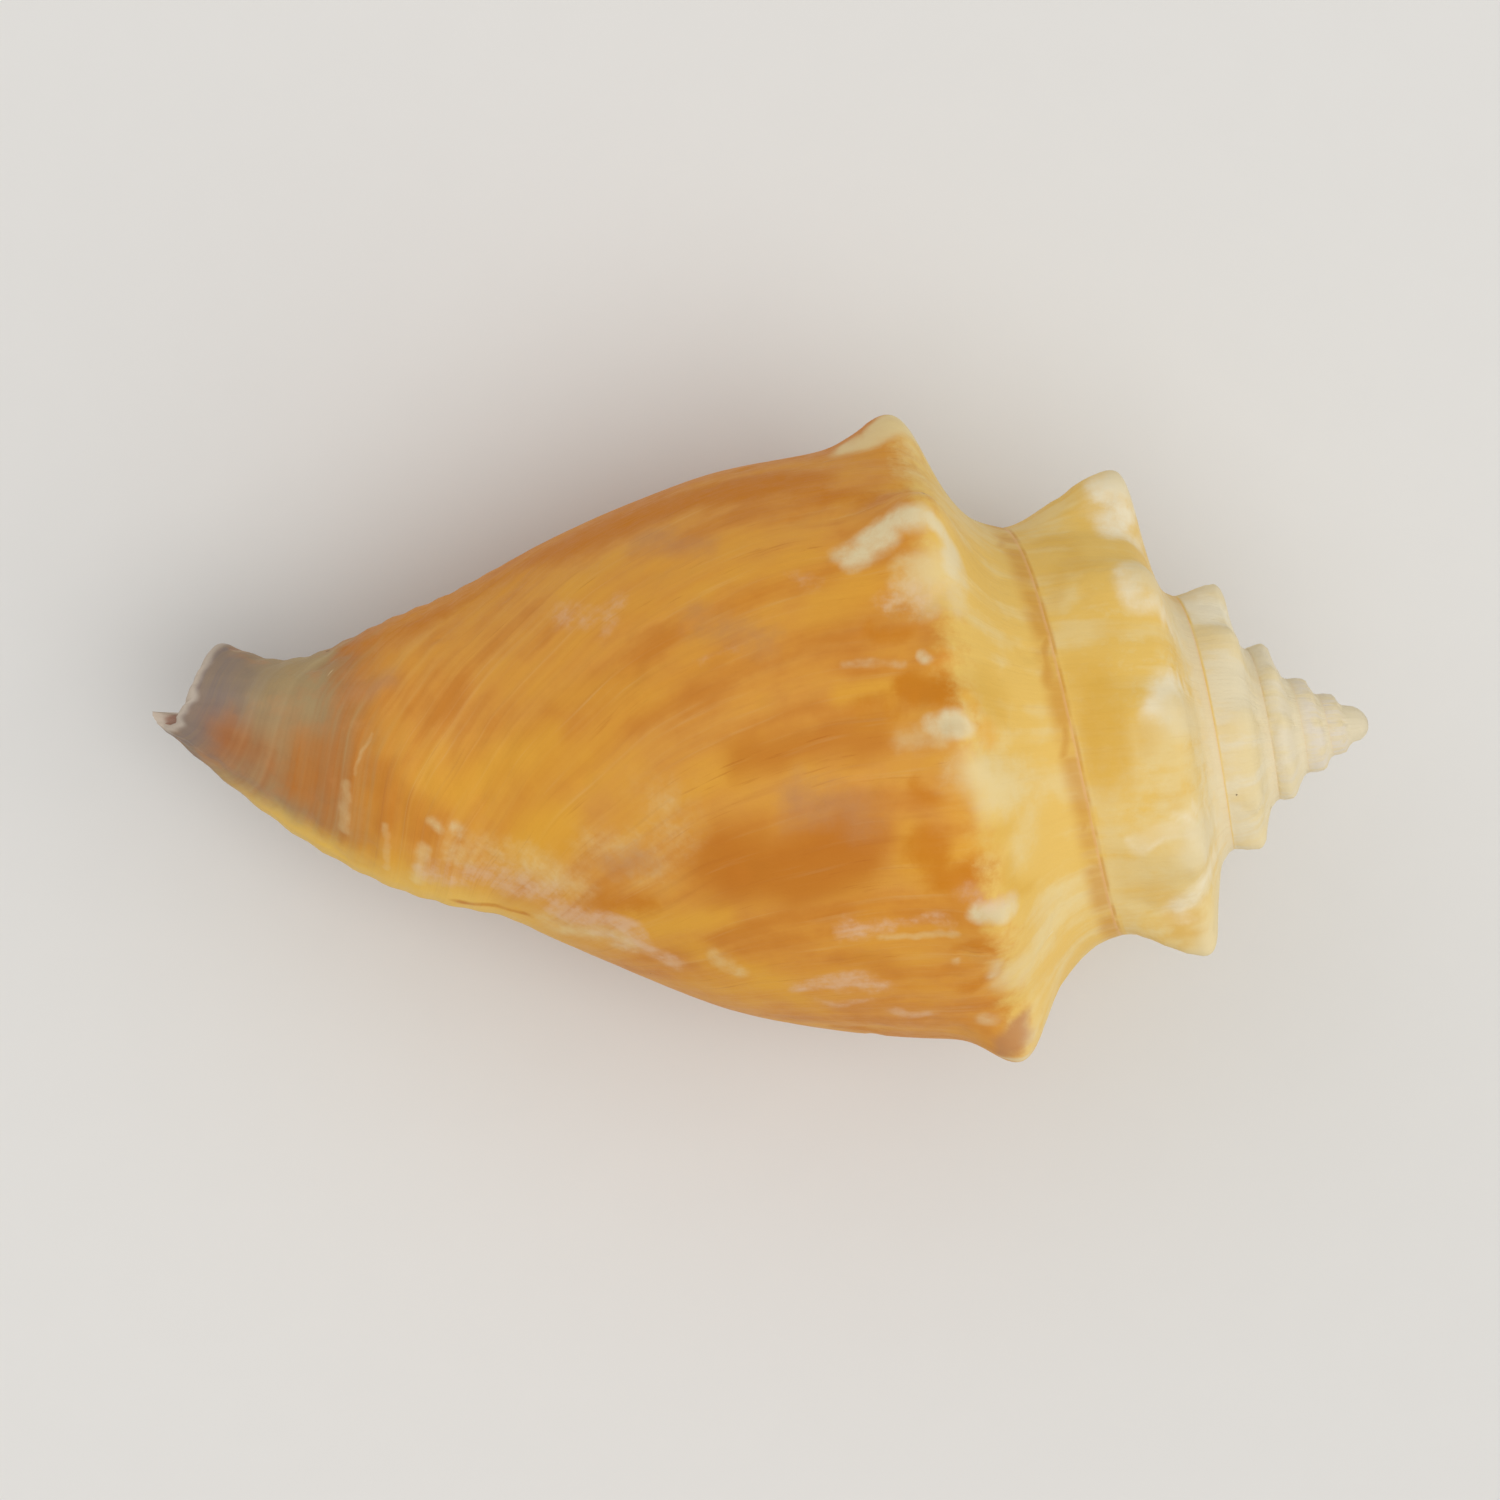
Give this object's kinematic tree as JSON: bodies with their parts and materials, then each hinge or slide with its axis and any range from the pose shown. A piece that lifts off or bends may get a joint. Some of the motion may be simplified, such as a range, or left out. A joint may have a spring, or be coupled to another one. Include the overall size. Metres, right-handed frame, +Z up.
{
  "type": "conch shell",
  "caption": "Empty right-handed sea snail shell with a spined shoulder, stepped spire, long narrow aperture and short open canal, lying aperture down.",
  "frame": {"origin": "middle of the bounding box's underside, on the surface the shell lies on", "axes": "+X towards the spire's apex, along the shell; +Y across it, towards the outer lip's side; +Z up, away from the aperture"},
  "size_m": [0.0844, 0.0458, 0.0408],
  "materials": {
    "shell": "satin orange-tan shell, paler and chalky on the spines and spire, glossy peach inside the aperture, violet-grey at the canal's tip"
  },
  "bodies": {
    "root": {"conch_shell": "shell"}
  },
  "joints": []
}
